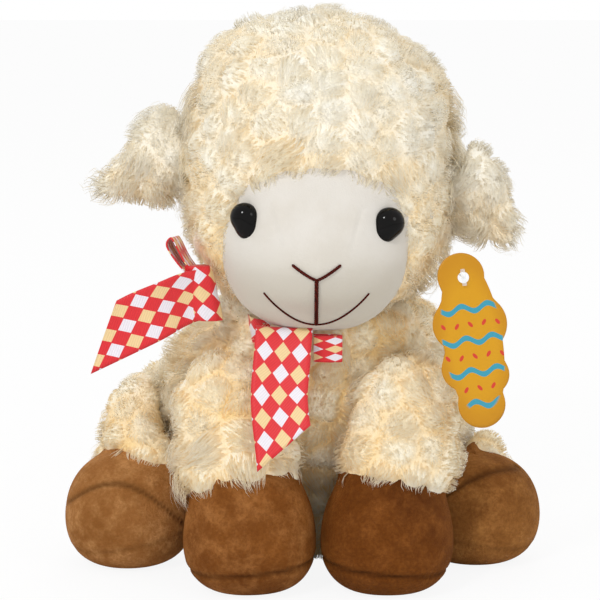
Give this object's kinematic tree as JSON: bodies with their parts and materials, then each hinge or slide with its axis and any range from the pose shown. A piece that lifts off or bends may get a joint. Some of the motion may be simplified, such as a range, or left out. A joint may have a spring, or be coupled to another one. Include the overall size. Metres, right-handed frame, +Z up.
{
  "type": "stuffed toy lamb",
  "caption": "Seated stuffed toy lamb with floppy ears, legs and tail, velour face and hooves, a checked neck ribbon and a plain swing tag.",
  "frame": {"origin": "on the floor, at the middle of the flat under the seat", "axes": "+Z up, the face looks towards -Y, +X is the picture's right"},
  "size_m": [0.2229, 0.186, 0.258],
  "materials": {
    "shaggy_pile": "long shaggy pile, curled into tufts, cream tips over warm roots",
    "face_velour": "short white velour",
    "hoof_velour": "short brown velour",
    "eye_black": "glossy black",
    "washer_plastic": "natural white plastic",
    "brown_thread": "dark brown embroidery thread",
    "fibre_fill": "white polyester fibre",
    "pellet_bag": "thin woven bag of pellets",
    "checked_ribbon": "ribbed ribbon with red, white and cream diamonds",
    "tag_card": "coated yellow card",
    "clear_nylon": "clear nylon"
  },
  "bodies": {
    "toy": {"torso_cover": "shaggy_pile", "torso_stuffing": "fibre_fill", "seat_pellet_bag": "pellet_bag", "head_cover": "shaggy_pile", "head_stuffing": "fibre_fill", "face_panel": "face_velour", "left_eye": "eye_black", "right_eye": "eye_black", "left_eye_washer": "washer_plastic", "right_eye_washer": "washer_plastic", "nose_stitching": "brown_thread", "mouth_stitching": "brown_thread", "neck_ribbon": "checked_ribbon", "bow_knot": "checked_ribbon", "ribbon_tail_left": "checked_ribbon", "ribbon_tail_centre": "checked_ribbon", "bow_loop_left": "checked_ribbon", "bow_loop_under_chin": "checked_ribbon", "fastener_bar": "clear_nylon"},
    "left_ear": {"left_ear": "shaggy_pile"},
    "right_ear": {"right_ear": "shaggy_pile"},
    "front_left_leg": {"front_left_leg": "shaggy_pile", "front_left_hoof_upper": "hoof_velour", "front_left_hoof_sole": "hoof_velour", "front_left_leg_stuffing": "fibre_fill"},
    "front_right_leg": {"front_right_leg": "shaggy_pile", "front_right_hoof_upper": "hoof_velour", "front_right_hoof_sole": "hoof_velour", "front_right_leg_stuffing": "fibre_fill"},
    "rear_left_leg": {"rear_left_leg": "shaggy_pile", "rear_left_hoof_upper": "hoof_velour", "rear_left_hoof_sole": "hoof_velour", "rear_left_leg_stuffing": "fibre_fill"},
    "rear_right_leg": {"rear_right_leg": "shaggy_pile", "rear_right_hoof_upper": "hoof_velour", "rear_right_hoof_sole": "hoof_velour", "rear_right_leg_stuffing": "fibre_fill"},
    "tail": {"tail": "shaggy_pile"},
    "fastener_thread": {"fastener_thread": "clear_nylon"},
    "swing_tag": {"swing_tag": "tag_card"}
  },
  "joints": [
    {"name": "left_ear_flop", "type": "hinge", "parent": "toy", "child": "left_ear", "pos_m": [-0.057, -0.02, 0.192], "axis": [0, 1, 0], "range_deg": [-25, 15], "stiffness_Nm_per_rad": 0.02},
    {"name": "right_ear_flop", "type": "hinge", "parent": "toy", "child": "right_ear", "pos_m": [0.057, -0.02, 0.182], "axis": [0, -1, 0], "range_deg": [-4, 40], "stiffness_Nm_per_rad": 0.02},
    {"name": "tail_lift", "type": "hinge", "parent": "toy", "child": "tail", "pos_m": [0, 0.05, 0.06], "axis": [1, 0, 0], "range_deg": [0, 40], "stiffness_Nm_per_rad": 0.02},
    {"name": "front_left_leg_splay", "type": "hinge", "parent": "toy", "child": "front_left_leg", "pos_m": [-0.0355, -0.0498, 0.092], "axis": [0, 1, 0], "range_deg": [0, 5], "stiffness_Nm_per_rad": 0.2},
    {"name": "front_right_leg_splay", "type": "hinge", "parent": "toy", "child": "front_right_leg", "pos_m": [0.0355, -0.0498, 0.092], "axis": [0, -1, 0], "range_deg": [0, 5], "stiffness_Nm_per_rad": 0.2},
    {"name": "rear_left_leg_spread", "type": "hinge", "parent": "toy", "child": "rear_left_leg", "pos_m": [-0.0639, -0.004, 0.064], "axis": [0, 0, -1], "range_deg": [0, 15], "stiffness_Nm_per_rad": 0.15},
    {"name": "rear_right_leg_spread", "type": "hinge", "parent": "toy", "child": "rear_right_leg", "pos_m": [0.0508, -0.003, 0.044], "axis": [0, 0, 1], "range_deg": [0, 15], "stiffness_Nm_per_rad": 0.15},
    {"name": "fastener_swing", "type": "hinge", "parent": "toy", "child": "fastener_thread", "pos_m": [0.053, -0.064, 0.147], "axis": [-1, 0, 0], "range_deg": [0, 40]},
    {"name": "tag_swing", "type": "hinge", "parent": "fastener_thread", "child": "swing_tag", "pos_m": [0.0635, -0.077, 0.1425], "axis": [0, -0.9781, 0.2079], "range_deg": [-12, 12]}
  ]
}
